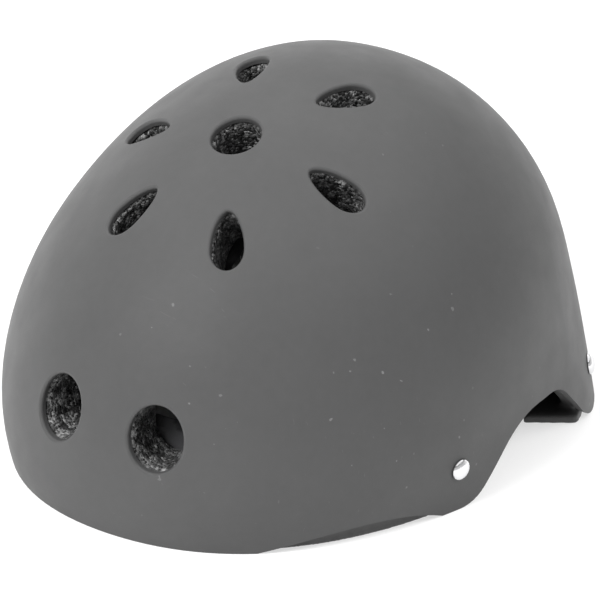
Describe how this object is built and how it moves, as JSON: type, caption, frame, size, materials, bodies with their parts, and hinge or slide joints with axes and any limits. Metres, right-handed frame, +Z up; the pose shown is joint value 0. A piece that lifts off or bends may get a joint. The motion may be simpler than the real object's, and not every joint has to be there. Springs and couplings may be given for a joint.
{
  "type": "skateboard helmet",
  "caption": "Open-face hard-shell sport helmet with a foam liner, round and petal-shaped vents, raised ear cut-outs, riveted chin straps with a side-release buckle, and comfort pads.",
  "frame": {"origin": "on the ground under the middle of the helmet", "axes": "-Y to the front, +X to the wearer's left, +Z up; the helmet stands on its rim"},
  "size_m": [0.2256, 0.2723, 0.1594],
  "materials": {
    "shell": "matt, lightly textured",
    "foam": "expanded bead foam",
    "rivet": "polished",
    "washer": "plain",
    "pad": "brushed knit over foam",
    "hook": "hook and loop",
    "webbing": "woven",
    "moulding": "satin"
  },
  "bodies": {
    "helmet": {"outer_shell": "shell", "eps_liner": "foam", "strap_rivets": "rivet", "rivet_washers": "washer", "hook_spots": "hook", "forehead_pad": "pad", "nape_pad": "pad", "crown_pad": "pad", "side_pad_left": "pad", "side_pad_right": "pad", "strap_end_front_left": "webbing", "strap_end_front_right": "webbing", "strap_end_rear_left": "webbing", "strap_end_rear_right": "webbing"},
    "left_v": {"front_strap_left": "webbing", "rear_strap_left": "webbing", "strap_divider_left": "moulding"},
    "right_v": {"front_strap_right": "webbing", "rear_strap_right": "webbing", "strap_divider_right": "moulding"},
    "left_chin": {"chin_strap_left": "webbing"},
    "right_chin": {"chin_strap_right": "webbing"},
    "adjuster": {"chin_adjuster": "moulding"},
    "keeper": {"strap_keeper": "moulding"},
    "plug": {"buckle_plug": "moulding"},
    "front_prong": {"buckle_prong_front": "moulding"},
    "rear_prong": {"buckle_prong_rear": "moulding"},
    "socket": {"buckle_socket": "moulding"}
  },
  "joints": [
    {"name": "left_v_swing", "type": "hinge", "parent": "helmet", "child": "left_v", "pos_m": [0.07247, 0.02272, 0.0016], "axis": [0.1227, -0.9924, 0], "range_deg": [0, 165]},
    {"name": "right_v_swing", "type": "hinge", "parent": "helmet", "child": "right_v", "pos_m": [-0.07247, 0.02272, 0.0016], "axis": [0.1227, 0.9924, 0], "range_deg": [0, 165]},
    {"name": "left_chin_swing", "type": "hinge", "parent": "left_v", "child": "left_chin", "pos_m": [0.04438, 0.01925, 0.10688], "axis": [-0.1227, 0.9924, 0], "range_deg": [0, 70]},
    {"name": "right_chin_swing", "type": "hinge", "parent": "right_v", "child": "right_chin", "pos_m": [-0.04438, 0.01925, 0.10688], "axis": [-0.1227, -0.9924, 0], "range_deg": [0, 70]},
    {"name": "adjuster_slide", "type": "slide", "parent": "left_chin", "child": "adjuster", "axis": [-0.2401, -0.0297, 0.9703], "range_m": [-0.004, 0.008]},
    {"name": "keeper_slide", "type": "slide", "parent": "left_chin", "child": "keeper", "axis": [-0.2401, -0.0297, 0.9703], "range_m": [-0.002, 0.003]},
    {"name": "plug_tilt", "type": "hinge", "parent": "left_chin", "child": "plug", "pos_m": [0.0608, 0.02128, 0.03886], "axis": [-0.1227, 0.9924, 0], "range_deg": [0, 60]},
    {"name": "socket_tilt", "type": "hinge", "parent": "right_chin", "child": "socket", "pos_m": [-0.0608, 0.02128, 0.03886], "axis": [-0.1227, -0.9924, 0], "range_deg": [0, 60]},
    {"name": "front_prong_flex", "type": "hinge", "parent": "plug", "child": "front_prong", "pos_m": [0.06474, 0.0137, 0.02693], "axis": [0.963, 0.119, 0.2419], "range_deg": [0, 6], "stiffness_Nm_per_rad": 0.05},
    {"name": "rear_prong_flex", "type": "hinge", "parent": "plug", "child": "rear_prong", "pos_m": [0.06277, 0.02958, 0.02693], "axis": [-0.963, -0.119, -0.2419], "range_deg": [0, 6], "stiffness_Nm_per_rad": 0.05}
  ]
}
